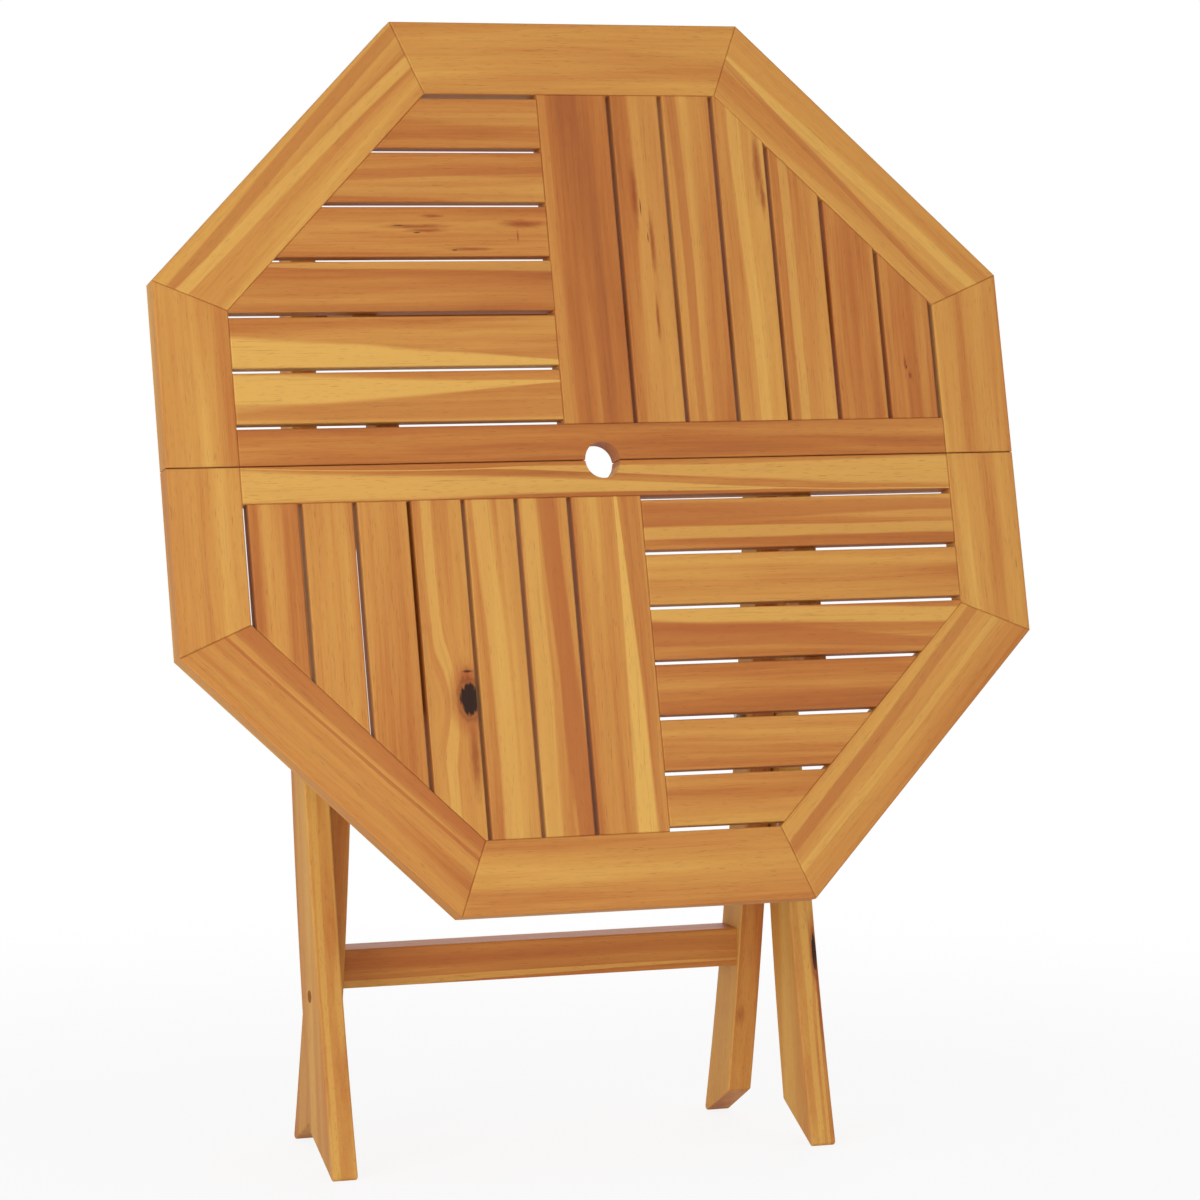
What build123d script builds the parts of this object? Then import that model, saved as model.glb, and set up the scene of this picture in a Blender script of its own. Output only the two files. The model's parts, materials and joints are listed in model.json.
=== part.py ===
from build123d import *
import math
import os

# Folding garden table: an octagonal slatted top on two crossing pairs of bowed legs.
# It is drawn nearly folded: the top leans back in front of the legs, which stand on their toes.
# +X runs along the seam of the top, +Y to the back and +Z up. The origin is on the floor,
# under the middle of the table. All sizes are in millimetres and degrees.

# Tabletop
across_flats = 850.0
board = 23.0
rail_width = 70.0
seam_rail_width = 35.0
divider_width = 70.0
slat_width = 48.0
slat_thickness = 16.0
least_slat_gap = 4.5
seam_gap = 0.8
board_edge_radius = 1.6
parasol_hole_radius = 17.5
top_lean = 14.3

# Legs, measured along the bow from the cross pivot
leg_thickness = 25.0
leg_depth = 40.5
leg_bow_radius = 3115.0
outer_leg_spacing = 490.0
outer_foot_depth = 66.0
inner_foot_depth = 56.0
inner_leg_reach_up = 270.0
foot_reach = 420.0
outer_lean = 7.5
open_swing = 26.0
inner_open_lean = 33.6
open_pivot_height = 324.5
toe_radius = 4.0
head_radius = 12.0
leg_edge_radius = 2.0

# Bars between the legs
crossbar_below_hinge = 45.0
crossbar_height = 34.0
crossbar_depth = 23.0
stretcher_reach = 238.5
stretcher_turn = -10.5
stretcher_side = 38.0
bar_edge_radius = 2.0

# Hinge of the top on the outer legs, and the battens behind the top
hinge_reach = 433.0
leg_above_hinge = 35.0
hinge_from_seam = 207.3
hinge_behind_face = 134.0
cleat_eye_radius = 15.0
cleat_end_margin = 18.0
batten_spacing = 409.0
batten_width = 23.0
batten_behind_rails = 25.5
batten_overhang = 12.0

# Fasteners
bolt_radius = 4.0
bolt_head_radius = 8.0
bolt_head_height = 4.5
bolt_end = 2.0
washer_radius = 9.0
washer_thickness = 1.2
nut_radius = 7.5
nut_height = 6.5
screw_radius = 2.0
screw_head_radius = 4.0
screw_head_height = 2.2
screw_bite = 10.0
stretcher_screw_bite = 40.0
dowel_radius = 4.0
cleat_dowel_bite = 10.0
crossbar_dowel_bite = 15.0
dowel_spacing = 16.0
plug_radius = 6.0
plug_depth = 8.0
plug_reach = 254.0

# Clearances
running_gap = 0.3
pin_clearance = 0.06
hole_clearance = 0.05

# Sizes that follow from the ones above
apothem = across_flats / 2
inner_apothem = apothem - rail_width
octagon_slope = math.tan(math.radians(22.5))
outer_leg_x = outer_leg_spacing / 2
leg_side_gap = washer_thickness + 2 * running_gap
inner_leg_x = outer_leg_x - leg_thickness - leg_side_gap
outer_leg_reach_up = hinge_reach + leg_above_hinge
crossbar_reach = hinge_reach - crossbar_below_hinge
crossbar_length = 2 * outer_leg_x - leg_thickness
stretcher_length = 2 * inner_leg_x - leg_thickness
row_start = seam_rail_width
row_span = inner_apothem - row_start
slat_count = int((row_span - least_slat_gap) // (slat_width + least_slat_gap))
slat_gap = (row_span - slat_count * slat_width) / (slat_count + 1)
rows = [row_start + slat_gap + slat_width / 2 + k * (slat_width + slat_gap) for k in range(slat_count)]

shapes = {}


def flat_board(points, thickness=board):
    """A board of the top with this outline and eased edges, its upper face at Z = 0."""
    outline = make_face(Polyline(*points, close=True))
    shortest_side = min(side.length for side in outline.edges())
    solid = extrude(outline, -thickness)
    return fillet(solid.faces().filter_by(Axis.Z).edges(), min(board_edge_radius, shortest_side / 3))


def x_rod(radius, length):
    """A round rod along X, centred."""
    return Rot(0, 90, 0) * Cylinder(radius, length)


def screw(length, clearance=0.0):
    """A countersunk screw that points along +Z, its head flush with Z = 0."""
    on_base = (Align.CENTER, Align.CENTER, Align.MIN)
    head = Cone(screw_head_radius, screw_radius, screw_head_height, align=on_base)
    shank = Cylinder(screw_radius + clearance, length + clearance, align=on_base)
    return head + shank


# Boards of the back half of the top, in the plane of the top
def rail_points(normal_angle):
    """A whole side rail of the octagon, mitred at both ends."""
    half_out = apothem * octagon_slope
    half_in = inner_apothem * octagon_slope
    turn = math.radians(normal_angle - 90)
    corners = [
        (-half_out, apothem),
        (half_out, apothem),
        (half_in, inner_apothem),
        (-half_in, inner_apothem),
    ]
    return [
        (x * math.cos(turn) - y * math.sin(turn), x * math.sin(turn) + y * math.cos(turn))
        for x, y in corners
    ]


def half_rail_points(side):
    """The half of the left or right rail that lies behind the seam."""
    corners = [
        (apothem, seam_gap / 2),
        (apothem, apothem * octagon_slope),
        (inner_apothem, inner_apothem * octagon_slope),
        (inner_apothem, seam_gap / 2),
    ]
    return [(side * x, y) for x, y in corners]


def rectangle(x0, y0, x1, y1):
    return [(x0, y0), (x1, y0), (x1, y1), (x0, y1)]


def slat_points(row, side, along_x):
    """A slat of one quarter of the back half, cut at 45 degrees where it meets a diagonal rail."""
    near = row - slat_width / 2
    far = row + slat_width / 2
    start = divider_width / 2 if along_x else seam_rail_width
    diagonal = inner_apothem * math.sqrt(2)
    corners = [(start, near)]
    if diagonal - near > inner_apothem:
        corners.append((inner_apothem, near))
    else:
        corners.append((diagonal - near, near))
    if near < diagonal - inner_apothem < far:
        corners.append((inner_apothem, diagonal - inner_apothem))
    corners.append((min(inner_apothem, diagonal - far), far))
    corners.append((start, far))
    if not along_x:
        corners = [(y, x) for x, y in corners]
    return [(side * x, y) for x, y in corners]


back_half = {
    "rail_back": flat_board(rail_points(90)),
    "rail_back_right": flat_board(rail_points(45)),
    "rail_back_left": flat_board(rail_points(135)),
    "rail_right_back": flat_board(half_rail_points(1)),
    "rail_left_back": flat_board(half_rail_points(-1)),
    "seam_rail_back": flat_board(rectangle(-inner_apothem, seam_gap / 2, inner_apothem, seam_rail_width)),
    "divider_back": flat_board(
        rectangle(-divider_width / 2, seam_rail_width, divider_width / 2, inner_apothem)
    ),
}
for number, row in enumerate(rows, start=1):
    for side_name, side, along_x in (("left", -1, True), ("right", 1, False)):
        slat = flat_board(slat_points(row, side, along_x), slat_thickness)
        back_half[f"slat_back_{side_name}_{number}"] = slat

# The front half is the back half turned by half a turn
opposite = {"back": "front", "left": "right", "right": "left"}
top_boards = dict(back_half)
for name, solid in back_half.items():
    turned_name = "_".join(opposite.get(word, word) for word in name.split("_"))
    top_boards[turned_name] = Rot(0, 0, 180) * solid

# Battens and hinge cleats behind the top, with the holes that hold them
batten_rear = -board - batten_behind_rails
batten_depth = -slat_thickness - batten_rear
batten_back_end = rows[0] + batten_overhang
batten_front_end = -rows[3] - batten_overhang
batten_screw_places = [rows[0], seam_rail_width / 2, -seam_rail_width / 2, -rows[1], -rows[3]]
batten_screw_length = batten_depth + screw_bite
cleat_dowel_places = [rows[1], rows[2]]
cleat_front = rows[1] - cleat_end_margin
cleat_back = rows[2] + cleat_end_margin


def batten(side):
    """A batten that lies on the slats and is notched over the thicker seam rails."""
    x = side * batten_spacing / 2
    length = batten_back_end - batten_front_end
    middle = Pos(x, (batten_back_end + batten_front_end) / 2, batten_rear + batten_depth / 2)
    solid = fillet(Box(batten_width, length, batten_depth).edges().filter_by(Axis.Y), bar_edge_radius)
    solid = middle * solid
    solid -= Pos(x, 0, 0) * Box(2 * batten_width, 2 * (seam_rail_width + hole_clearance), 2 * board)
    for place in batten_screw_places:
        solid -= Pos(x, place, batten_rear) * screw(batten_screw_length, hole_clearance)
    return solid


def cleat(side):
    """A tapered wooden cleat behind the top, with an eye for the hinge bolt."""
    base = Polyline(
        (cleat_front, -slat_thickness),
        (cleat_back, -slat_thickness),
        (hinge_from_seam + cleat_eye_radius, -hinge_behind_face),
        (hinge_from_seam - cleat_eye_radius, -hinge_behind_face),
        close=True,
    )
    profile = make_face(base) + Pos(hinge_from_seam, -hinge_behind_face) * Circle(cleat_eye_radius)
    solid = extrude(profile, leg_thickness / 2, both=True)
    solid = fillet(solid.faces().filter_by(Axis.Z).edges(), bar_edge_radius)
    solid -= Pos(hinge_from_seam, -hinge_behind_face) * Cylinder(bolt_radius + pin_clearance, leg_thickness)
    upright = Pos(side * inner_leg_x, 0, 0) * Plane.YZ.location * solid
    for place in cleat_dowel_places:
        upright -= Pos(side * inner_leg_x, place, -slat_thickness) * Cylinder(
            dowel_radius + hole_clearance, 2 * cleat_dowel_bite
        )
    return upright


sides = {"left": -1, "right": 1}
batten_screws = []
cleat_dowels = []
top_holes = []
for side in sides.values():
    for place in batten_screw_places:
        seat = Pos(side * batten_spacing / 2, place, batten_rear)
        batten_screws.append(seat * screw(batten_screw_length))
        top_holes.append(seat * screw(batten_screw_length, hole_clearance))
    for place in cleat_dowel_places:
        seat = Pos(side * inner_leg_x, place, -slat_thickness)
        cleat_dowels.append(seat * Cylinder(dowel_radius, 2 * cleat_dowel_bite))
        top_holes.append(seat * Cylinder(dowel_radius + hole_clearance, 2 * cleat_dowel_bite))
top_holes.append(Cylinder(parasol_hole_radius, 3 * board))


def boxes_meet(first, second):
    """True where the bounding boxes of two solids overlap."""
    a = first.bounding_box()
    b = second.bounding_box()
    return all(
        getattr(a.min, axis) < getattr(b.max, axis) and getattr(b.min, axis) < getattr(a.max, axis)
        for axis in "XYZ"
    )


top_pieces = {}
for name, solid in top_boards.items():
    for hole in top_holes:
        if boxes_meet(solid, hole):
            solid -= hole
    top_pieces[name] = solid
for name, side in sides.items():
    top_pieces[f"batten_{name}"] = batten(side)
    top_pieces[f"hinge_cleat_{name}"] = cleat(side)
top_pieces["batten_screws"] = Compound(batten_screws)
top_pieces["cleat_dowels"] = Compound(cleat_dowels)


# Legs: the pivot is at the origin, the bow is upright there, and the toe points along -Y
def along_bow(reach, way=1):
    """The place this far up the bow from the pivot: way is 1 on the outer legs, -1 on the inner."""
    middle = Pos(0, -way * leg_bow_radius, 0)
    turn = way * math.degrees(reach / leg_bow_radius)
    return middle * Rot(turn, 0, 0) * middle.inverse()


def bow_point(reach, half_depth):
    """A point beside the bow, half_depth behind it, or before it where negative."""
    turn = reach / leg_bow_radius
    radius = leg_bow_radius + half_depth
    return (radius * math.cos(turn) - leg_bow_radius, radius * math.sin(turn))


def bowed_leg(reach_up, foot_depth, sole_lean):
    """A bowed board that widens to its foot, with a sole that is level at the open lean."""
    half = leg_depth / 2
    long_reach = 1.3 * foot_reach
    flare = (foot_depth - leg_depth) / 2 / foot_reach
    edges = []
    for way in (1, -1):
        edges.append(
            ThreePointArc(
                bow_point(reach_up, way * half),
                bow_point(reach_up / 2, way * half),
                bow_point(0, way * half),
            )
        )
        edges.append(
            ThreePointArc(
                bow_point(0, way * half),
                bow_point(-long_reach / 2, way * (half + flare * long_reach / 2)),
                bow_point(-long_reach, way * (half + flare * long_reach)),
            )
        )
    edges.append(Line(edges[0] @ 0, edges[2] @ 0))
    edges.append(Line(edges[1] @ 1, edges[3] @ 1))
    solid = extrude(make_face(edges), leg_thickness / 2, both=True)
    solid = Plane.YZ.location * solid
    sole = Rot(sole_lean, 0, 0) * Pos(0, 0, -open_pivot_height - foot_reach / 2)
    solid -= sole * Box(4 * leg_thickness, 4 * foot_reach, foot_reach)
    corners = solid.edges().filter_by(Axis.X).sort_by(Axis.Z)
    solid = fillet(corners[:2], toe_radius)
    corners = solid.edges().filter_by(Axis.X).sort_by(Axis.Z)
    solid = fillet(corners[-2:], head_radius)
    solid = fillet(solid.faces().filter_by(Axis.X).edges(), leg_edge_radius)
    return solid - x_rod(bolt_radius + pin_clearance, 2 * leg_thickness)


outer_leg = bowed_leg(outer_leg_reach_up, outer_foot_depth, outer_lean + open_swing)
inner_leg = mirror(bowed_leg(inner_leg_reach_up, inner_foot_depth, inner_open_lean), about=Plane.XZ)
pivot_height = -(Rot(-outer_lean, 0, 0) * outer_leg).bounding_box().min.Z

# The inner legs lean just so far that their toes stand on the same floor as the outer toes
inner_lean = inner_open_lean - open_swing
for step in range(8):
    stance = (Rot(inner_lean, 0, 0) * inner_leg).bounding_box()
    inner_lean += math.degrees((-pivot_height - stance.min.Z) / stance.max.Y)

outer_stand = Pos(0, 0, pivot_height) * Rot(-outer_lean, 0, 0)
inner_stand = Pos(0, 0, pivot_height) * Rot(inner_lean, 0, 0)
hinge_place = (outer_stand * along_bow(hinge_reach)).position
top_stand = Pos(*hinge_place) * Rot(90 - top_lean, 0, 0) * Pos(0, -hinge_from_seam, hinge_behind_face)
for name, solid in top_pieces.items():
    shapes[name] = top_stand * solid

# Outer frame: legs, crossbar, dowels and plugs
crossbar_seat = along_bow(crossbar_reach)
crossbar_dowel_length = 2 * crossbar_dowel_bite


def crossbar_dowel_seats(side):
    for offset in (-dowel_spacing / 2, dowel_spacing / 2):
        yield crossbar_seat * Pos(side * crossbar_length / 2, 0, offset)


def plug_seat(side):
    return along_bow(-plug_reach) * Pos(side * (outer_leg_x + leg_thickness / 2 - plug_depth / 2), 0, 0)


crossbar = fillet(
    Box(crossbar_length, crossbar_depth, crossbar_height).edges().filter_by(Axis.X), bar_edge_radius
)
crossbar = crossbar_seat * crossbar
crossbar_dowels = []
plugs = []
for name, side in sides.items():
    leg = Pos(side * outer_leg_x, 0, 0) * outer_leg
    leg -= Pos(side * outer_leg_x, 0, 0) * along_bow(hinge_reach) * x_rod(
        bolt_radius + hole_clearance, 2 * leg_thickness
    )
    for seat in crossbar_dowel_seats(side):
        hole = seat * x_rod(dowel_radius + hole_clearance, crossbar_dowel_length)
        leg -= hole
        crossbar -= hole
        crossbar_dowels.append(seat * x_rod(dowel_radius, crossbar_dowel_length))
    leg -= plug_seat(side) * x_rod(plug_radius, plug_depth)
    plugs.append(plug_seat(side) * x_rod(plug_radius, plug_depth))
    shapes[f"outer_leg_{name}"] = outer_stand * leg
shapes["upper_crossbar"] = outer_stand * crossbar
shapes["crossbar_dowels"] = outer_stand * Compound(crossbar_dowels)
shapes["outer_leg_plugs"] = outer_stand * Compound(plugs)

# Inner frame: legs, stretcher and screws, on the bow that is turned the other way.
# The stretcher is turned in its seat, so that it lies level while the table leans folded.
stretcher_seat = along_bow(-stretcher_reach, way=-1) * Rot(stretcher_turn, 0, 0)
stretcher_screw_length = leg_thickness + stretcher_screw_bite
stretcher = fillet(
    Box(stretcher_length, stretcher_side, stretcher_side).edges().filter_by(Axis.X), bar_edge_radius
)
stretcher = stretcher_seat * stretcher
stretcher_screws = []
for name, side in sides.items():
    leg = Pos(side * inner_leg_x, 0, 0) * inner_leg
    for offset in (-dowel_spacing / 2, dowel_spacing / 2):
        place = Pos(side * (inner_leg_x + leg_thickness / 2), 0, offset)
        seat = stretcher_seat * place * Rot(0, -90 * side, 0)
        hole = seat * screw(stretcher_screw_length, hole_clearance)
        leg -= hole
        stretcher -= hole
        stretcher_screws.append(seat * screw(stretcher_screw_length))
    shapes[f"inner_leg_{name}"] = inner_stand * leg
shapes["lower_stretcher"] = inner_stand * stretcher
shapes["stretcher_screws"] = inner_stand * Compound(stretcher_screws)

# Bolts, washers and nuts: one set at each cross pivot and one at each hinge of the top
head_seat = outer_leg_x + leg_thickness / 2 + running_gap
nut_seat = inner_leg_x - leg_thickness / 2 - running_gap
washer_middle = inner_leg_x + leg_thickness / 2 + leg_side_gap / 2


def bolt(side):
    end = nut_seat - nut_height - bolt_end
    shank = Pos(side * (head_seat + end) / 2, 0, 0) * x_rod(bolt_radius, head_seat - end)
    head = x_rod(bolt_head_radius, bolt_head_height)
    head = fillet(head.edges().sort_by(Axis.X)[-1], 0.7 * bolt_head_height)
    head = Pos(head_seat + bolt_head_height / 2, 0, 0) * head
    return shank + (head if side > 0 else mirror(head, about=Plane.YZ))


def washer(side):
    ring = x_rod(washer_radius, washer_thickness) - x_rod(bolt_radius + hole_clearance, washer_thickness)
    return Pos(side * washer_middle, 0, 0) * ring


def nut(side):
    hexagon = extrude(RegularPolygon(nut_radius, 6), nut_height / 2, both=True)
    hexagon -= Cylinder(bolt_radius + hole_clearance, nut_height)
    return Pos(side * (nut_seat - nut_height / 2), 0, 0) * Rot(0, 90, 0) * hexagon


bolt_places = {"pivot": Pos(0, 0, pivot_height), "hinge": Pos(*hinge_place)}
for place_name, place in bolt_places.items():
    for kind, make in {"bolts": bolt, "washers": washer, "nuts": nut}.items():
        shapes[f"{place_name}_{kind}"] = place * Compound([make(side) for side in sides.values()])

# The origin goes to the floor, under the middle of the whole table
extent = Compound(list(shapes.values())).bounding_box()
to_origin = Pos(-extent.center().X, -extent.center().Y, -extent.min.Z)
os.makedirs("parts", exist_ok=True)
for name, shape in shapes.items():
    export_step(to_origin * shape, f"parts/{name}.step")

places = {
    "cross pivot": (to_origin * bolt_places["pivot"]).position,
    "top hinge": (to_origin * bolt_places["hinge"]).position,
    "parasol hole": (to_origin * top_stand).position,
    "top normal": Plane(top_stand).z_dir,
}
for name, place in places.items():
    print(name, [round(value, 4) for value in place])
print("inner lean", round(inner_lean, 4), "whole size", extent.size)
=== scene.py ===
"""Looks of the folding garden table: oiled wood on every board, plain metal in its joints."""

import json
import logging
import math
from dataclasses import dataclass, field
from enum import Enum
from typing import Any, Union

import bpy
from mathutils import Matrix, Vector


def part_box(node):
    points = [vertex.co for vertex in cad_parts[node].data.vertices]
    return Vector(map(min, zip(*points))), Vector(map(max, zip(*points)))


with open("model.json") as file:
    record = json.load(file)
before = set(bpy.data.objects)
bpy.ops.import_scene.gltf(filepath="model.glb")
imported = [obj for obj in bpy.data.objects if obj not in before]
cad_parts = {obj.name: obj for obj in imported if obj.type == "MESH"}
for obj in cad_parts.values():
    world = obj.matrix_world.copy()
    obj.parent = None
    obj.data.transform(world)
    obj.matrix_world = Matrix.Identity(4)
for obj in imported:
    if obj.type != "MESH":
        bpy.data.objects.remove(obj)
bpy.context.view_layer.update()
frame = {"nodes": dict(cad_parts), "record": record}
LOG = logging.getLogger("garden_table")
MILLIMETRE = 0.001
NOISE_MIDDLE = 0.5

Number = Union[float, "Sum"]
Colour = tuple[float, float, float, float]
Edge = tuple[float, float]
Triple = tuple[float, float, float]


def paint(red: int, green: int, blue: int) -> Colour:
    """Turn a screen colour into the linear colour that a shader takes.

    Args:
        red: Red from 0 to 255.
        green: Green from 0 to 255.
        blue: Blue from 0 to 255.

    Returns:
        The linear colour with full alpha.
    """
    shares = [channel / 255 for channel in (red, green, blue)]
    linear = [c / 12.92 if c <= 0.04045 else ((c + 0.055) / 1.055) ** 2.4 for c in shares]
    return (linear[0], linear[1], linear[2], 1.0)


class Sum:
    """A shader socket that takes part in sums written as Python."""

    def __init__(self, shader: "Nodes", socket: bpy.types.NodeSocket) -> None:
        """Keep the socket and the nodes that it belongs to."""
        self.shader = shader
        self.socket = socket

    def math(self, operation: str, *values: Number) -> "Sum":
        """Add a Math node.

        Args:
            operation: The Math node's operation.
            values: Its inputs in order.

        Returns:
            The node's result.
        """
        inputs = dict(enumerate(values))
        return self.shader.add("ShaderNodeMath", {"operation": operation}, inputs)

    def __add__(self, other: Number) -> "Sum":
        """Add a value."""
        return self.math("ADD", self, other)

    __radd__ = __add__

    def __sub__(self, other: Number) -> "Sum":
        """Take a value away."""
        return self.math("SUBTRACT", self, other)

    def __rsub__(self, other: Number) -> "Sum":
        """Take this away from a value."""
        return self.math("SUBTRACT", other, self)

    def __mul__(self, other: Number) -> "Sum":
        """Multiply by a value."""
        return self.math("MULTIPLY", self, other)

    __rmul__ = __mul__

    def __truediv__(self, other: Number) -> "Sum":
        """Divide by a value."""
        return self.math("DIVIDE", self, other)

    def power(self, exponent: Number) -> "Sum":
        """Raise to a power."""
        return self.math("POWER", self, exponent)

    def root(self) -> "Sum":
        """Take the square root."""
        return self.math("SQRT", self)

    def size(self) -> "Sum":
        """Drop the sign."""
        return self.math("ABSOLUTE", self)

    def larger(self, other: Number) -> "Sum":
        """Take the larger of two values."""
        return self.math("MAXIMUM", self, other)


class Nodes:
    """A node tree and the nodes that are added to it."""

    def __init__(self, tree: bpy.types.NodeTree) -> None:
        """Keep the tree."""
        self.tree = tree

    def add(self, kind: str, settings: dict[str, Any], inputs: dict[Any, Any], output: Any = 0) -> Sum:
        """Add a node of any type.

        Args:
            kind: The node's type.
            settings: Its properties, and a ramp's stops under the key stops.
            inputs: Values or sums, by socket name or place.
            output: The output socket to hand on.

        Returns:
            The output as a value for further sums.
        """
        node = self.tree.nodes.new(kind)
        for key, value in settings.items():
            if key == "stops":
                self._set_stops(node, value)
            else:
                setattr(node, key, value)
        for key, value in inputs.items():
            self.feed(node.inputs[key], value)
        return Sum(self, node.outputs[output])

    def feed(self, socket: bpy.types.NodeSocket, value: Any) -> None:
        """Link a sum to a socket, or set a plain value on it.

        Args:
            socket: The input socket.
            value: The sum or the plain value.
        """
        if isinstance(value, Sum):
            self.tree.links.new(value.socket, socket)
        else:
            socket.default_value = value

    def _set_stops(self, node: bpy.types.Node, stops: list[tuple[float, Colour]]) -> None:
        """Give a colour ramp its stops.

        Args:
            node: The ramp.
            stops: The place and colour of each stop, from left to right.
        """
        elements = node.color_ramp.elements
        while len(elements) < len(stops):
            elements.new(1.0)
        for element, (place, colour) in zip(elements, stops):
            element.position = place
            element.color = colour

    def noise(self, vector: Sum, detail: float, roughness: float = 0.5) -> Sum:
        """Add a noise of scale one over a vector that is already stretched."""
        inputs = {"Vector": vector, "Scale": 1.0, "Detail": detail, "Roughness": roughness}
        return self.add("ShaderNodeTexNoise", {"noise_dimensions": "3D"}, inputs)

    def smooth(self, value: Number, low: float, high: float) -> Sum:
        """Go softly from 0 at low to 1 at high."""
        inputs = {"Value": value, "From Min": low, "From Max": high}
        return self.add("ShaderNodeMapRange", {"interpolation_type": "SMOOTHSTEP"}, inputs)

    def mix(self, factor: Number, first: Any, second: Any) -> Sum:
        """Mix two colours."""
        settings = {"data_type": "RGBA", "clamp_factor": True}
        return self.add("ShaderNodeMix", settings, {0: factor, 6: first, 7: second}, output=2)

    def vector(self, x: Number, y: Number, z: Number) -> Sum:
        """Join three values to a vector."""
        return self.add("ShaderNodeCombineXYZ", {}, {0: x, 1: y, 2: z})


class Shader(Nodes):
    """A new material and the nodes that are added to it."""

    def __init__(self, name: str) -> None:
        """Make an empty node material with a surface shader.

        Args:
            name: The material's name.
        """
        self.material = bpy.data.materials.new(name)
        self.material.use_nodes = True
        super().__init__(self.material.node_tree)
        self.surface = self.tree.nodes["Principled BSDF"]

    def place(self) -> Sum:
        """Read the place on the piece, in metres."""
        return self.add("ShaderNodeTexCoord", {}, {}, "Object")

    def speckle(self, place: Sum, scale: Triple, detail: float) -> Sum:
        """Add a noise that is as dense as the scale says on each axis."""
        return self.noise(self.add("ShaderNodeMapping", {}, {"Vector": place, "Scale": scale}), detail)

    def coat(self, values: dict[str, Any]) -> None:
        """Feed sockets of the surface by their names."""
        for name, value in values.items():
            self.feed(self.surface.inputs[name], value)

    def put_on(self, node: bpy.types.Object) -> None:
        """Make this the only material of a piece."""
        node.data.materials.clear()
        node.data.materials.append(self.material)


class MarkKind(Enum):
    """What a mark in the wood is."""

    KNOT = "knot"
    CHECK = "check"
    STAIN = "stain"


@dataclass(frozen=True)
class Mark:
    """One knot, check or stain, placed on a board in millimetres from its middle."""

    kind: MarkKind
    along: float
    across: float
    length: float
    width: float
    through: float = 0.0


class BandKind(Enum):
    """Which part of the tree a band of colour comes from."""

    SAP = "sapwood"
    HEART = "heartwood"


@dataclass(frozen=True)
class Band:
    """A long band of colour on a board, in millimetres from its middle.

    The slant is how far it drifts across the grain, and the spread how much it widens, for each unit along.
    """

    kind: BandKind
    across: float
    half: float
    strength: float = 0.8
    slant: float = 0.0
    spread: float = 0.0


@dataclass(frozen=True)
class BoardLook:
    """How one board differs from the next: its tone, its bands and its marks.

    Seen from the front, across the grain goes left on boards that run up the top, right on the legs, and up
    on boards along the seam and on the bars between the legs.
    """

    tone: float = 0.0
    sap: float = 0.35
    heart: float = 0.3
    marks: tuple[Mark, ...] = ()
    bands: tuple[Band, ...] = ()


@dataclass(frozen=True)
class Grain:
    """The frame of a board: where it is, which way its grain runs and which way it faces."""

    middle: Vector
    along: Vector
    facing: Vector

    def turn(self) -> Triple:
        """Give the turn from the table's axes to the board's as Euler angles."""
        across = self.facing.cross(self.along)
        return tuple(Matrix((self.along, across, self.facing)).transposed().to_euler("XYZ"))


@dataclass(frozen=True)
class Layer:
    """One noise in the wood, with how dense it is along and across the grain, for each metre."""

    along: float
    across: float
    detail: float
    roughness: float = 0.5


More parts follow.
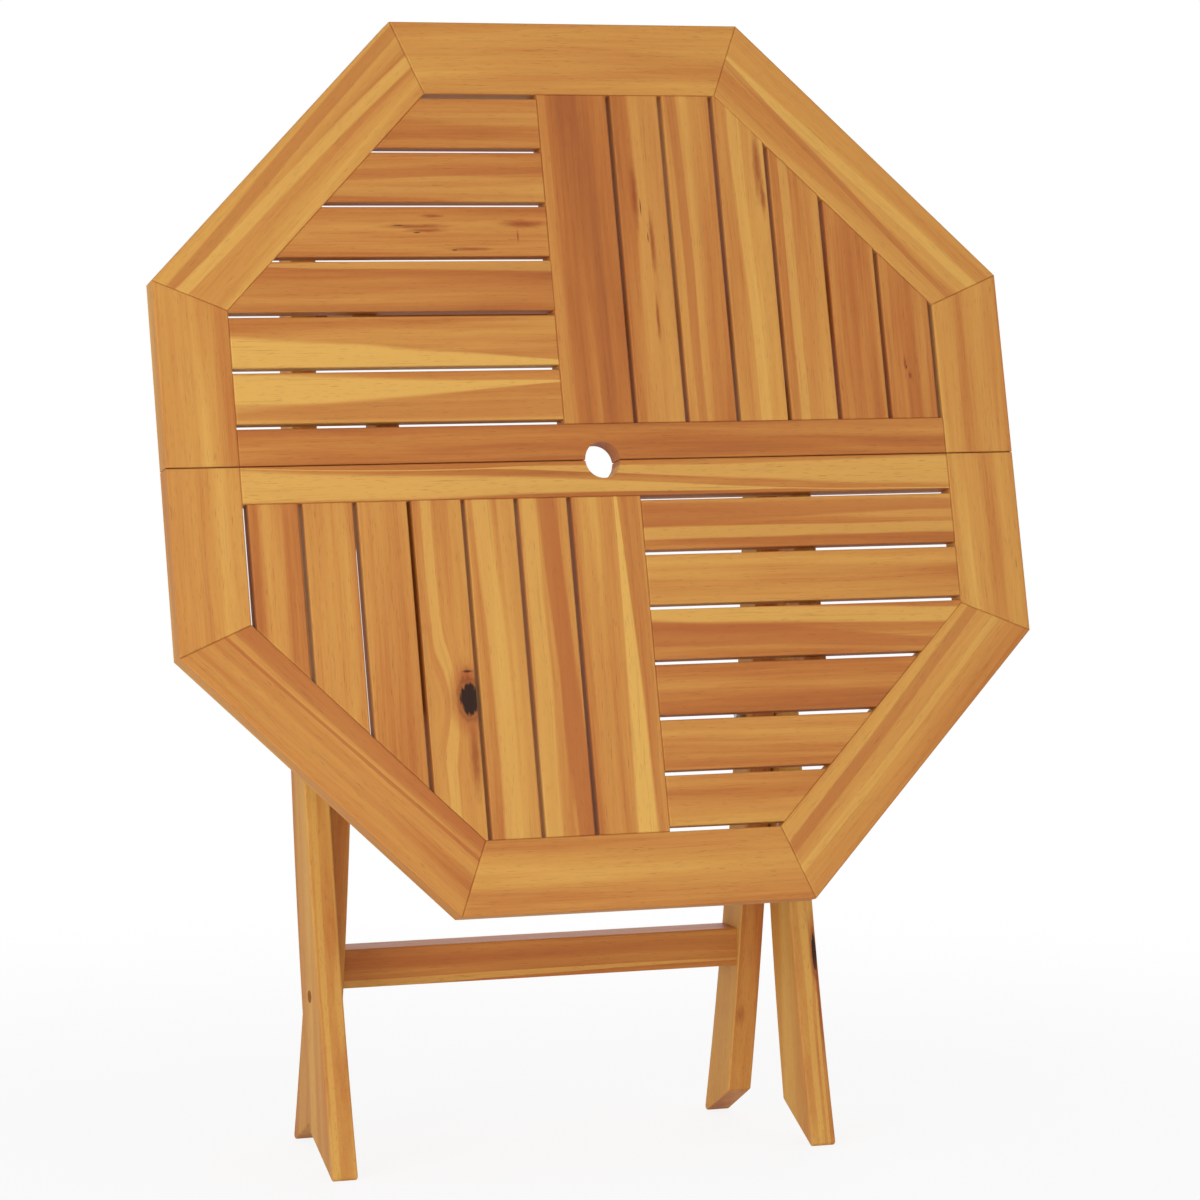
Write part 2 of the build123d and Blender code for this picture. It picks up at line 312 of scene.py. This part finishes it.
@dataclass(frozen=True)
class OiledWood:
    """Oiled hardwood: honey-brown with yellow sapwood bands and red-brown heart streaks.

    An edge is the two values between which a layer or mark fades, a cover how strongly it hides what is
    below, and a fray how far a noise moves its outline.
    """

    dark: Colour = paint(156, 88, 43)
    red: Colour = paint(177, 107, 50)
    honey: Colour = paint(191, 128, 62)
    gold: Colour = paint(202, 146, 71)
    yellow: Colour = paint(212, 164, 85)
    tone_stops: tuple[float, ...] = (0.30, 0.41, 0.50, 0.60, 0.72)
    sapwood: Colour = paint(214, 166, 84)
    heartwood: Colour = paint(168, 92, 46)
    pore: Colour = paint(116, 64, 34)
    knot: Colour = paint(42, 20, 10)
    knot_halo: Colour = paint(166, 88, 44)
    stain: Colour = paint(138, 56, 26)

    sway: Layer = Layer(2.3, 7.0, 2.0)
    sway_width: float = 0.016
    bands: Layer = Layer(1.5, 30.0, 3.0)
    bands_share: float = 0.56
    stripes: Layer = Layer(3.2, 95.0, 3.0)
    stripes_share: float = 0.22
    fine: Layer = Layer(11.0, 460.0, 4.0, 0.65)
    fine_share: float = 0.22
    fine_edge: Edge = (0.55, 0.72)
    fine_cover: float = 0.24
    fine_relief: float = 0.4
    pores: Layer = Layer(75.0, 1500.0, 1.0)
    pore_edge: Edge = (0.64, 0.74)
    pore_cover: float = 0.36
    pore_relief: float = 0.6
    flame: Layer = Layer(1.1, 24.0, 2.0)
    flame_edge: Edge = (0.57, 0.615)
    streak: Layer = Layer(1.3, 42.0, 2.0)
    streak_edge: Edge = (0.56, 0.65)
    seed_step: float = 7.31
    streak_seed: float = 3.0

    band_least: float = 0.0005
    band_edge: Edge = (0.75, 1.15)
    band_fray: float = 0.9

    mark_outline: Layer = Layer(120.0, 420.0, 2.0)
    stain_edge: Edge = (0.1, 1.25)
    stain_cover: float = 0.75
    stain_fray: float = 0.6
    check_edge: Edge = (0.25, 1.0)
    check_cover: float = 0.85
    knot_fray: float = 0.4
    knot_edge: Edge = (0.5, 1.05)
    halo_edge: Edge = (0.8, 1.8)
    halo_cover: float = 0.7
    ring_inner: Edge = (0.55, 0.7)
    ring_outer: Edge = (0.7, 0.85)
    ring_cover: float = 0.45
    pull_edge: Edge = (0.4, 3.2)
    knot_pull: float = 0.75

    roughness: float = 0.46
    roughness_change: float = 0.2
    gloss: float = 0.2
    bump_strength: float = 0.5
    bump_depth: float = 0.0004

    def dress(self, node: bpy.types.Object, grain: Grain, look: BoardLook, seed: int) -> None:
        """Give a board its own wood.

        Args:
            node: The board.
            grain: The board's frame.
            look: Its tone, bands and marks.
            seed: A number that no other board has.
        """
        shader = Shader(f"oiled_wood_{node.name}")
        mapping = {"Vector": shader.place(), "Location": grain.middle, "Rotation": grain.turn()}
        board = shader.add("ShaderNodeMapping", {"vector_type": "TEXTURE"}, mapping)
        axes = [shader.add("ShaderNodeSeparateXYZ", {}, {0: board}, output=i) for i in range(3)]
        colour, fine, relief = self._colour(shader, axes, look, seed * self.seed_step)
        bump = {"Height": relief, "Strength": self.bump_strength, "Distance": self.bump_depth}
        shader.coat({
            "Base Color": colour,
            "Roughness": self.roughness + fine * self.roughness_change,
            "Specular IOR Level": self.gloss,
            "Normal": shader.add("ShaderNodeBump", {}, bump),
        })
        shader.put_on(node)

    def _noise(self, shader: Shader, axes: list[Sum], layer: Layer, seed: float) -> Sum:
        """Add one noise that is drawn out along the grain.

        Args:
            shader: The material.
            axes: Along the grain, across it and through the board, in metres.
            layer: The noise.
            seed: Where in the noise this board lies.

        Returns:
            The noise from 0 to 1.
        """
        along, across, through = axes
        drawn = shader.vector(along * layer.along + seed, across * layer.across, through * layer.across)
        return shader.noise(drawn, layer.detail, layer.roughness)

    def _bent(self, shader: Shader, axes: list[Sum], marks: tuple[Mark, ...], seed: float) -> list[Sum]:
        """Let the grain sway and flow round the knots.

        Args:
            shader: The material.
            axes: The board's own coordinates.
            marks: The board's marks.
            seed: Where in the noise this board lies.

        Returns:
            The coordinates that follow the grain.
        """
        along, across, through = axes
        bent = across
        for mark in marks:
            if mark.kind is MarkKind.KNOT:
                near = 1 - shader.smooth(self._distance(axes, mark), *self.pull_edge)
                bent = bent + near * (across - mark.across * MILLIMETRE) * self.knot_pull
        sway = self._noise(shader, [along, bent, through], self.sway, seed)
        return [along, bent + (sway - NOISE_MIDDLE) * self.sway_width, through]

    def _colour(
        self, shader: Shader, axes: list[Sum], look: BoardLook, seed: float
    ) -> tuple[Sum, Sum, Sum]:
        """Work out the colour of the wood.

        Args:
            shader: The material.
            axes: The board's own coordinates.
            look: The board's tone, bands and marks.
            seed: Where in the noise this board lies.

        Returns:
            The colour, the fine grain from 0 to 1, and the relief of the surface.
        """
        grain = self._bent(shader, axes, look.marks, seed)
        bands = self._noise(shader, grain, self.bands, seed)
        stripes = self._noise(shader, grain, self.stripes, -seed)
        fine = self._noise(shader, grain, self.fine, seed)
        pores = self._noise(shader, grain, self.pores, seed)
        tone = bands * self.bands_share + stripes * self.stripes_share + fine * self.fine_share + look.tone
        stops = list(zip(self.tone_stops, (self.dark, self.red, self.honey, self.gold, self.yellow)))
        colour = shader.add("ShaderNodeValToRGB", {"stops": stops}, {0: tone})
        flame = self._noise(shader, grain, self.flame, self.streak_seed * seed)
        colour = shader.mix(shader.smooth(flame, *self.flame_edge) * look.sap, colour, self.sapwood)
        streak = self._noise(shader, grain, self.streak, -self.streak_seed * seed)
        colour = shader.mix(shader.smooth(streak, *self.streak_edge) * look.heart, colour, self.heartwood)
        for band in look.bands:
            colour = self._band(shader, colour, grain, band, stripes)
        colour = shader.mix(shader.smooth(fine, *self.fine_edge) * self.fine_cover, colour, self.pore)
        holes = shader.smooth(pores, *self.pore_edge)
        colour = shader.mix(holes * self.pore_cover, colour, self.pore)
        for mark in look.marks:
            colour = self._mark(shader, colour, axes, mark, seed)
        return colour, fine, fine * self.fine_relief - holes * self.pore_relief

    def _band(self, shader: Shader, colour: Sum, grain: list[Sum], band: Band, ripple: Sum) -> Sum:
        """Lay one long band of colour over the wood.

        Args:
            shader: The material.
            colour: The colour below.
            grain: The coordinates that follow the grain.
            band: The band.
            ripple: A noise that frays its edges.

        Returns:
            The colour with the band.
        """
        along, across, _ = grain
        half = (band.half * MILLIMETRE + along * band.spread).larger(self.band_least)
        off = across - band.across * MILLIMETRE - along * band.slant
        far = off.size() / half + (ripple - NOISE_MIDDLE) * self.band_fray
        wood = self.sapwood if band.kind is BandKind.SAP else self.heartwood
        return self._lay(shader, far, self.band_edge, band.strength, colour, wood)

    def _lay(
        self, shader: Shader, far: Sum, edge: Edge, cover: float, colour: Sum, over: Colour
    ) -> Sum:
        """Cover a colour with another one inside an edge."""
        return shader.mix((1 - shader.smooth(far, *edge)) * cover, colour, over)

    def _distance(self, axes: list[Sum], mark: Mark) -> Sum:
        """Measure from the middle of a mark, 1 at its edge.

        Args:
            axes: The board's own coordinates.
            mark: The mark.

        Returns:
            The distance.
        """
        along, across, through = axes
        far = ((along - mark.along * MILLIMETRE) / (mark.length * MILLIMETRE)).power(2)
        far = far + ((across - mark.across * MILLIMETRE) / (mark.width * MILLIMETRE)).power(2)
        if mark.through:
            far = far + (through / (mark.through * MILLIMETRE)).power(2)
        return far.root()

    def _mark(self, shader: Shader, colour: Sum, axes: list[Sum], mark: Mark, seed: float) -> Sum:
        """Lay one mark over the wood.

        Args:
            shader: The material.
            colour: The colour below.
            axes: The board's own coordinates.
            mark: The mark.
            seed: Where in the noise this board lies.

        Returns:
            The colour with the mark.
        """
        outline = self._noise(shader, axes, self.mark_outline, seed) - NOISE_MIDDLE
        fray = self.stain_fray if mark.kind is MarkKind.STAIN else self.knot_fray
        far = self._distance(axes, mark) + outline * fray
        if mark.kind is MarkKind.STAIN:
            return self._lay(shader, far, self.stain_edge, self.stain_cover, colour, self.stain)
        if mark.kind is MarkKind.CHECK:
            return self._lay(shader, far, self.check_edge, self.check_cover, colour, self.knot)
        colour = self._lay(shader, far, self.halo_edge, self.halo_cover, colour, self.knot_halo)
        ring = shader.smooth(far, *self.ring_inner) - shader.smooth(far, *self.ring_outer)
        dark = (1 - shader.smooth(far, *self.knot_edge)) - ring * self.ring_cover
        return shader.mix(dark, colour, self.knot)


@dataclass(frozen=True)
class PlatedSteel:
    """Zinc-plated steel with fine turning marks."""

    bright: Colour = paint(190, 190, 186)
    dull: Colour = paint(150, 149, 144)
    turning: Triple = (2600.0, 420.0, 420.0)
    clouds: Triple = (160.0, 160.0, 160.0)
    roughness: float = 0.26
    roughness_change: float = 0.2

    def dress(self, node: bpy.types.Object) -> None:
        """Give a fastener its metal.

        Args:
            node: The fastener.
        """
        shader = Shader(f"plated_steel_{node.name}")
        place = shader.place()
        shader.coat({
            "Base Color": shader.mix(shader.speckle(place, self.clouds, 3.0), self.dull, self.bright),
            "Roughness": self.roughness + shader.speckle(place, self.turning, 2.0) * self.roughness_change,
            "Metallic": 1.0,
        })
        shader.put_on(node)


@dataclass(frozen=True)
class BrownPlug:
    """A matt brown plug with a slightly mottled face."""

    dark: Colour = paint(122, 66, 26)
    pale: Colour = paint(160, 96, 42)
    mottle: Triple = (900.0, 900.0, 900.0)
    roughness: float = 0.6
    roughness_change: float = 0.2
    gloss: float = 0.12

    def dress(self, node: bpy.types.Object) -> None:
        """Give the plugs their matt face.

        Args:
            node: The plugs.
        """
        shader = Shader(f"dark_plug_{node.name}")
        dots = shader.speckle(shader.place(), self.mottle, 3.0)
        shader.coat({
            "Base Color": shader.mix(dots, self.dark, self.pale),
            "Roughness": self.roughness + dots * self.roughness_change,
            "Specular IOR Level": self.gloss,
        })
        shader.put_on(node)


@dataclass
class Tabletop:
    """The octagonal top: rails, seam rails, dividers, slats, battens and cleats."""

    wood: OiledWood
    normal: Vector
    hidden_look: BoardLook = BoardLook(-0.02)
    looks: dict[str, BoardLook] = field(default_factory=dict)

    def __post_init__(self) -> None:
        """Find the top's own axes and choose the look of its boards."""
        self.right = Vector((1.0, 0.0, 0.0))
        self.up = self.normal.cross(self.right)
        self.looks.update(self._rail_looks())
        self.looks.update(self._back_slat_looks())
        self.looks.update(self._front_slat_looks())

    def _rail_looks(self) -> dict[str, BoardLook]:
        """Choose the look of the rails, seam rails and dividers."""
        sap, heart = BandKind.SAP, BandKind.HEART
        return {
            "rail_back": BoardLook(0.07, 0.2, 0.03),
            "rail_back_left": BoardLook(
                0.03, 0.2, 0.15, bands=(Band(heart, 8, 6, 0.5, 0.03), Band(sap, -12, 6, 0.7, -0.04))
            ),
            "rail_back_right": BoardLook(
                0.03, 0.25, 0.15, bands=(Band(sap, -8, 5, 0.6, 0.03), Band(heart, -22, 3, 0.5, -0.05))
            ),
            "rail_left_back": BoardLook(0.03, 0.12, 0.05),
            "rail_left_front": BoardLook(0.015, 0.1, 0.08),
            "rail_right_back": BoardLook(0.05, 0.12, 0.05),
            "rail_right_front": BoardLook(0.02, 0.12, 0.1),
            "rail_front": BoardLook(0.035, 0.15, 0.06),
            "rail_front_left": BoardLook(
                -0.01, 0.15, 0.2, bands=(Band(heart, 41, 9, 0.55, 0.01), Band(heart, 27, 1.8, 0.7, 0.02))
            ),
            "rail_front_right": BoardLook(
                0.0, 0.2, 0.3, bands=(Band(heart, 32, 6, 0.5, 0.03), Band(sap, 10, 4, 0.5, 0.02))
            ),
            "seam_rail_back": BoardLook(-0.06, 0.05, 0.2),
            "seam_rail_front": BoardLook(
                -0.02, 0.2, 0.25,
                bands=(Band(sap, -9, 6, 0.75, -0.02, -0.03), Band(sap, 8, 4, 0.7, -0.02, 0.03)),
            ),
            "divider_back": BoardLook(-0.08, 0.0, 0.2),
            "divider_front": BoardLook(
                -0.025, 0.05, 0.12, bands=(Band(heart, -28, 5, 0.35), Band(sap, -12, 6.5, 0.95, 0.02, -0.03))
            ),
        }

    def _back_slat_looks(self) -> dict[str, BoardLook]:
        """Choose the look of the slats in the back half."""
        sap, heart = BandKind.SAP, BandKind.HEART
        stain, check = MarkKind.STAIN, MarkKind.CHECK
        smears = (
            Mark(stain, 5, 5, 38, 2.6), Mark(stain, 14, 1, 22, 2.2), Mark(stain, 57, -17, 24, 2.0),
            Mark(stain, 110, 7, 26, 4.5), Mark(stain, 20, 15, 14, 1.8), Mark(stain, 104, -5, 1.2, 7),
            Mark(check, 4, -1, 5, 0.9), Mark(check, -14, 6, 9, 0.7), Mark(check, 40, -18, 4, 0.9),
        )
        streaks = (
            Mark(stain, 62, 8, 40, 4), Mark(stain, 14, -6, 34, 3), Mark(stain, -60, -5, 26, 2),
            Mark(check, 50, 3, 12, 0.8), Mark(check, 20, -2, 7, 0.8),
        )
        spots = (Mark(stain, -28, 6, 8, 2.0), Mark(stain, -40, 2, 4, 2.4), Mark(check, -32, 5, 3, 0.9))
        return {
            "slat_back_left_1": BoardLook(
                -0.01, 0.15, 0.3, bands=(Band(sap, 8, 9, 0.9, 0.02, -0.05), Band(heart, -12, 8, 0.35))
            ),
            "slat_back_left_2": BoardLook(-0.06, 0.1, 0.3, bands=(Band(sap, -15, 11, 0.9, -0.03, -0.05),)),
            "slat_back_left_3": BoardLook(-0.06, 0.1, 0.3, bands=(Band(sap, 20, 4, 0.4, 0.0, 0.02),)),
            "slat_back_left_4": BoardLook(-0.015, 0.2, 0.2, marks=smears),
            "slat_back_left_5": BoardLook(0.01, 0.3, 0.2, bands=(Band(heart, 4, 5, 0.5, 0.01, -0.02),)),
            "slat_back_left_6": BoardLook(0.01, 0.25, 0.1),
            "slat_back_right_1": BoardLook(-0.01, 0.2, 0.2, marks=streaks),
            "slat_back_right_2": BoardLook(-0.02, 0.2, 0.25, bands=(Band(heart, 14, 5, 0.45, 0.02),)),
            "slat_back_right_3": BoardLook(
                0.0, 0.2, 0.15, marks=(Mark(stain, 92, -16, 40, 5), Mark(stain, 60, -19, 24, 3)),
                bands=(Band(sap, 2, 6, 0.55, 0.02),),
            ),
            "slat_back_right_4": BoardLook(-0.02, 0.15, 0.2, bands=(Band(sap, 10, 5, 0.5),)),
            "slat_back_right_5": BoardLook(-0.03, 0.15, 0.25),
            "slat_back_right_6": BoardLook(-0.04, 0.15, 0.35, marks=spots),
        }

    def _front_slat_looks(self) -> dict[str, BoardLook]:
        """Choose the look of the slats in the front half."""
        sap, heart = BandKind.SAP, BandKind.HEART
        knot = (
            Mark(MarkKind.STAIN, -80, -18, 46, 6), Mark(MarkKind.STAIN, -8, -16, 12, 8),
            Mark(MarkKind.KNOT, -28, -17, 24, 14, 60), Mark(MarkKind.CHECK, -2, -17, 1.8, 7),
        )
        return {
            "slat_front_left_1": BoardLook(
                0.03, 0.3, 0.15, bands=(Band(sap, 14, 9, 0.6), Band(heart, -10, 10, 0.7, 0.05))
            ),
            "slat_front_left_2": BoardLook(0.04, 0.3, 0.05, bands=(Band(sap, 4, 8, 0.6, 0.02),)),
            "slat_front_left_3": BoardLook(0.02, 0.2, 0.1, marks=knot, bands=(Band(sap, 8, 5, 0.6, 0.01),)),
            "slat_front_left_4": BoardLook(0.01, 0.3, 0.15),
            "slat_front_left_5": BoardLook(0.03, 0.35, 0.1),
            "slat_front_left_6": BoardLook(-0.03, 0.2, 0.35),
            "slat_front_right_1": BoardLook(
                0.0, 0.2, 0.2, bands=(Band(heart, 12, 9, 0.5, 0.02, -0.02), Band(sap, -10, 6, 0.6, 0.01))
            ),
            "slat_front_right_2": BoardLook(0.01, 0.35, 0.2),
            "slat_front_right_3": BoardLook(
                0.0, 0.2, 0.2, bands=(Band(sap, 14, 7, 0.75, -0.02), Band(heart, -8, 9, 0.6, -0.05, -0.03))
            ),
            "slat_front_right_4": BoardLook(-0.07, 0.05, 0.3),
            "slat_front_right_5": BoardLook(0.0, 0.25, 0.2),
            "slat_front_right_6": BoardLook(-0.01, 0.25, 0.25),
        }

    def grain_of(self, name: str) -> Grain:
        """Find which way a board's grain runs.

        Args:
            name: The board's name.

        Returns:
            The board's frame.
        """
        low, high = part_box(name)
        diagonals = {"rail_back_left": 1, "rail_front_right": 1, "rail_back_right": -1, "rail_front_left": -1}
        if name in diagonals:
            along = (self.right + diagonals[name] * self.up).normalized()
        elif name.startswith("hinge_cleat"):
            return Grain((low + high) / 2, self.normal, self.right)
        elif self._runs_upwards(name):
            along = self.up
        else:
            along = self.right
        return Grain((low + high) / 2, along, self.normal)

    def _runs_upwards(self, name: str) -> bool:
        """Tell whether a board's grain runs square to the seam."""
        starts = ("divider", "batten", "rail_left", "rail_right", "slat_back_right", "slat_front_left")
        return name.startswith(starts)

    def dress(self, names: list[str], first_seed: int) -> None:
        """Dress every wooden piece of the top.

        Args:
            names: The pieces.
            first_seed: The seed of the first one.
        """
        for seed, name in enumerate(names, start=first_seed):
            look = self.looks.get(name, self.hidden_look)
            self.wood.dress(frame["nodes"][name], self.grain_of(name), look, seed)
            LOG.info("dressed %s", name)


@dataclass
class LegFrames:
    """The outer and the inner legs, with the bars between them."""

    wood: OiledWood
    outer_lean: float = math.radians(7.0)
    inner_lean: float = math.radians(-5.5)
    right: Vector = field(default_factory=lambda: Vector((1.0, 0.0, 0.0)))

    def looks(self) -> dict[str, BoardLook]:
        """Choose the look of the legs and bars, with painted light on the left face of the right inner leg.
        """
        sap, heart = BandKind.SAP, BandKind.HEART
        knot = (Mark(MarkKind.KNOT, -260, 9.5, 28, 3.6, 60), Mark(MarkKind.STAIN, -315, 10, 60, 2.2, 60))
        patch = (Mark(MarkKind.STAIN, -231, -5, 15, 7, 60),)
        return {
            "outer_leg_left": BoardLook(0.07, 0.45, 0.2, bands=(Band(sap, -6, 3, 0.6),)),
            "outer_leg_right": BoardLook(
                0.09, 0.4, 0.15, marks=knot, bands=(Band(sap, -2, 3, 0.6), Band(sap, 5, 1.5, 0.6))
            ),
            "inner_leg_left": BoardLook(-0.02, 0.3, 0.3),
            # The sapwood-coloured band 13 mm left of the middle lies on this leg's left face: painted light
            # that makes the side facing the lamps lighter.
            "inner_leg_right": BoardLook(-0.02, 0.1, 0.3, marks=patch, bands=(Band(sap, -13, 1.8, 0.55),)),
            "lower_stretcher": BoardLook(
                -0.05, 0.1, 0.2, bands=(Band(sap, -14, 2.5, 0.6, 0.01, -0.008), Band(heart, 6, 8, 0.3))
            ),
            "upper_crossbar": BoardLook(-0.06, 0.1, 0.3),
        }

    def grain_of(self, name: str) -> Grain:
        """Find which way a leg's or a bar's grain runs.

        Args:
            name: The piece's name.

        Returns:
            The piece's frame.
        """
        low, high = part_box(name)
        leans = {"outer_leg": self.outer_lean, "inner_leg": self.inner_lean}
        for start, lean in leans.items():
            if name.startswith(start):
                along = Vector((0.0, math.sin(lean), math.cos(lean)))
                return Grain((low + high) / 2, along, along.cross(self.right))
        return Grain((low + high) / 2, self.right, Vector((0.0, -1.0, 0.0)))

    def dress(self, names: list[str], first_seed: int) -> None:
        """Dress every wooden piece of the legs.

        Args:
            names: The pieces.
            first_seed: The seed of the first one.
        """
        looks = self.looks()
        for seed, name in enumerate(names, start=first_seed):
            self.wood.dress(frame["nodes"][name], self.grain_of(name), looks.get(name, BoardLook()), seed)
            LOG.info("dressed %s", name)


@dataclass
class Fasteners:
    """The bolts, washers, nuts, screws and plugs."""

    steel: PlatedSteel = PlatedSteel()
    plug: BrownPlug = BrownPlug()

    def dress(self, slots: dict[str, str]) -> None:
        """Dress every piece that isn't a board.

        Args:
            slots: The material slot of each piece.
        """
        finishes = {"steel": self.steel, "plug": self.plug}
        for name, slot in slots.items():
            if slot in finishes:
                finishes[slot].dress(frame["nodes"][name])
                LOG.info("dressed %s", name)


@dataclass(frozen=True)
class Lamp:
    """A soft square lamp, hung from the middle of the top and turned to it."""

    name: str
    offset: Triple
    side: float
    watts: float


@dataclass
class Studio:
    """A pale floor, soft light and the camera, placed from the middle of the top."""

    target: Vector
    camera_offset: Vector = field(default_factory=lambda: Vector((-1.566, -4.229, 0.245)))
    camera_right: Vector = field(default_factory=lambda: Vector((0.9380, -0.3467, 0.0)))
    camera_forward: Vector = field(default_factory=lambda: Vector((0.3455, 0.9347, -0.0835)))
    camera_sight: float = 100.0
    focal_pixels: float = 4788.0
    frame_pixels: float = 1200.0
    sensor: float = 36.0
    floor_side: float = 40.0
    floor_colour: Colour = (0.93, 0.93, 0.93, 1.0)
    floor_roughness: float = 0.9
    floor_glow: float = 0.86
    shadow_reach: Edge = (0.5, 1.8)
    white: Colour = (1.0, 1.0, 1.0, 1.0)
    sky_strength: float = 0.52
    lamps: tuple[Lamp, ...] = (
        Lamp("key_light", (-3.5, -2.7, 0.6), 2.6, 82.0),
        Lamp("fill_light", (2.6, -2.6, 1.4), 2.4, 14.0),
        Lamp("low_light", (-0.9, -2.9, -0.4), 1.2, 27.0),
        Lamp("back_light", (1.8, 3.4, 1.0), 2.6, 34.0),
    )

    def build(self) -> None:
        """Set up the whole studio."""
        self._camera()
        self._floor()
        self._sky()
        for lamp in self.lamps:
            self._hang(lamp)
        bpy.context.scene.view_settings.view_transform = "Standard"

    def _camera(self) -> None:
        """Put the camera where the picture was taken from."""
        data = bpy.data.cameras.new("camera")
        data.sensor_width = self.sensor
        data.lens = self.focal_pixels / self.frame_pixels * self.sensor
        data.clip_end = self.camera_sight
        camera = bpy.data.objects.new("camera", data)
        bpy.context.scene.collection.objects.link(camera)
        right = self.camera_right.normalized()
        back = -self.camera_forward.normalized()
        turn = Matrix((right, back.cross(right), back)).transposed().to_4x4()
        camera.matrix_world = Matrix.Translation(self.target + self.camera_offset) @ turn
        bpy.context.scene.camera = camera

    def _seen(self, nodes: Nodes) -> Sum:
        """Tell camera, mirror and glass rays from the light that falls on the table.

        Args:
            nodes: The nodes to add to.

        Returns:
            A value that is 1 on rays that only see.
        """
        names = ("Is Camera Ray", "Is Glossy Ray", "Is Transmission Ray")
        camera, mirror, glass = (nodes.add("ShaderNodeLightPath", {}, {}, name) for name in names)
        return camera.larger(mirror).larger(glass)

    def _floor(self) -> None:
        """Lay a wide white floor that keeps a soft shadow round the table."""
        bpy.ops.object.select_all(action="DESELECT")
        bpy.ops.mesh.primitive_plane_add(size=self.floor_side)
        floor = bpy.context.active_object
        floor.name = "studio_floor"
        shader = Shader("studio_floor")
        shader.coat({
            "Base Color": self.floor_colour, "Roughness": self.floor_roughness, "Specular IOR Level": 0.0,
        })
        away = shader.add("ShaderNodeVectorMath", {"operation": "LENGTH"}, {0: shader.place()}, "Value")
        glow = self.floor_glow + (1 - self.floor_glow) * shader.smooth(away, *self.shadow_reach)
        lit = Sum(shader, shader.surface.outputs[0])
        white = shader.add("ShaderNodeEmission", {}, {"Color": self.white, "Strength": 1.0})
        blend = shader.add("ShaderNodeMixShader", {}, {0: self._seen(shader) * glow, 1: lit, 2: white})
        shader.feed(shader.tree.nodes["Material Output"].inputs["Surface"], blend)
        shader.put_on(floor)

    def _sky(self) -> None:
        """Fill the surroundings with even light, and show them white."""
        world = bpy.data.worlds.new("studio")
        bpy.context.scene.world = world
        world.use_nodes = True
        nodes = Nodes(world.node_tree)
        light = nodes.add("ShaderNodeBackground", {}, {"Color": self.white, "Strength": self.sky_strength})
        shown = nodes.add("ShaderNodeBackground", {}, {"Color": self.white, "Strength": 1.0})
        blend = nodes.add("ShaderNodeMixShader", {}, {0: self._seen(nodes), 1: light, 2: shown})
        nodes.feed(nodes.tree.nodes["World Output"].inputs["Surface"], blend)

    def _hang(self, lamp: Lamp) -> None:
        """Hang one lamp.

        Args:
            lamp: The lamp.
        """
        data = bpy.data.lights.new(lamp.name, "AREA")
        data.size = lamp.side
        data.energy = lamp.watts
        offset = Vector(lamp.offset)
        light = bpy.data.objects.new(lamp.name, data)
        bpy.context.scene.collection.objects.link(light)
        light.location = self.target + offset
        light.rotation_euler = (-offset).to_track_quat("-Z", "Y").to_euler()


def mount(name: str) -> dict[str, Any]:
    """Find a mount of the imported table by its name."""
    return next(entry for entry in frame["record"]["mounts"] if entry["name"] == name)


def wooden(body: str, slots: dict[str, str]) -> list[str]:
    """List the wooden pieces of a body, in order.

    Args:
        body: The body's name.
        slots: The material slot of each piece.

    Returns:
        The names.
    """
    members = frame["record"]["behaviour"]["bodies"][body]
    return sorted(name for name in members if slots[name].endswith("wood"))


def main() -> None:
    """Dress the table and set up the studio."""
    logging.basicConfig(level=logging.INFO)
    slots = {entry["node"]: entry["material_slot"] for entry in frame["record"]["subparts"]}
    hole = mount("parasol_hole")
    normal = Vector(hole["axis"]).normalized()
    board = hole["dims"]["length_mm"] * MILLIMETRE
    middle = Vector(hole["pos_m"]) + normal * board / 2
    wood = OiledWood()
    top_names = wooden("tabletop", slots)
    leg_names = wooden("outer_frame", slots) + wooden("inner_frame", slots)
    Tabletop(wood, normal).dress(top_names, first_seed=1)
    LegFrames(wood).dress(leg_names, first_seed=1 + len(top_names))
    Fasteners().dress(slots)
    Studio(middle).build()


if __name__ == "__main__":
    main()
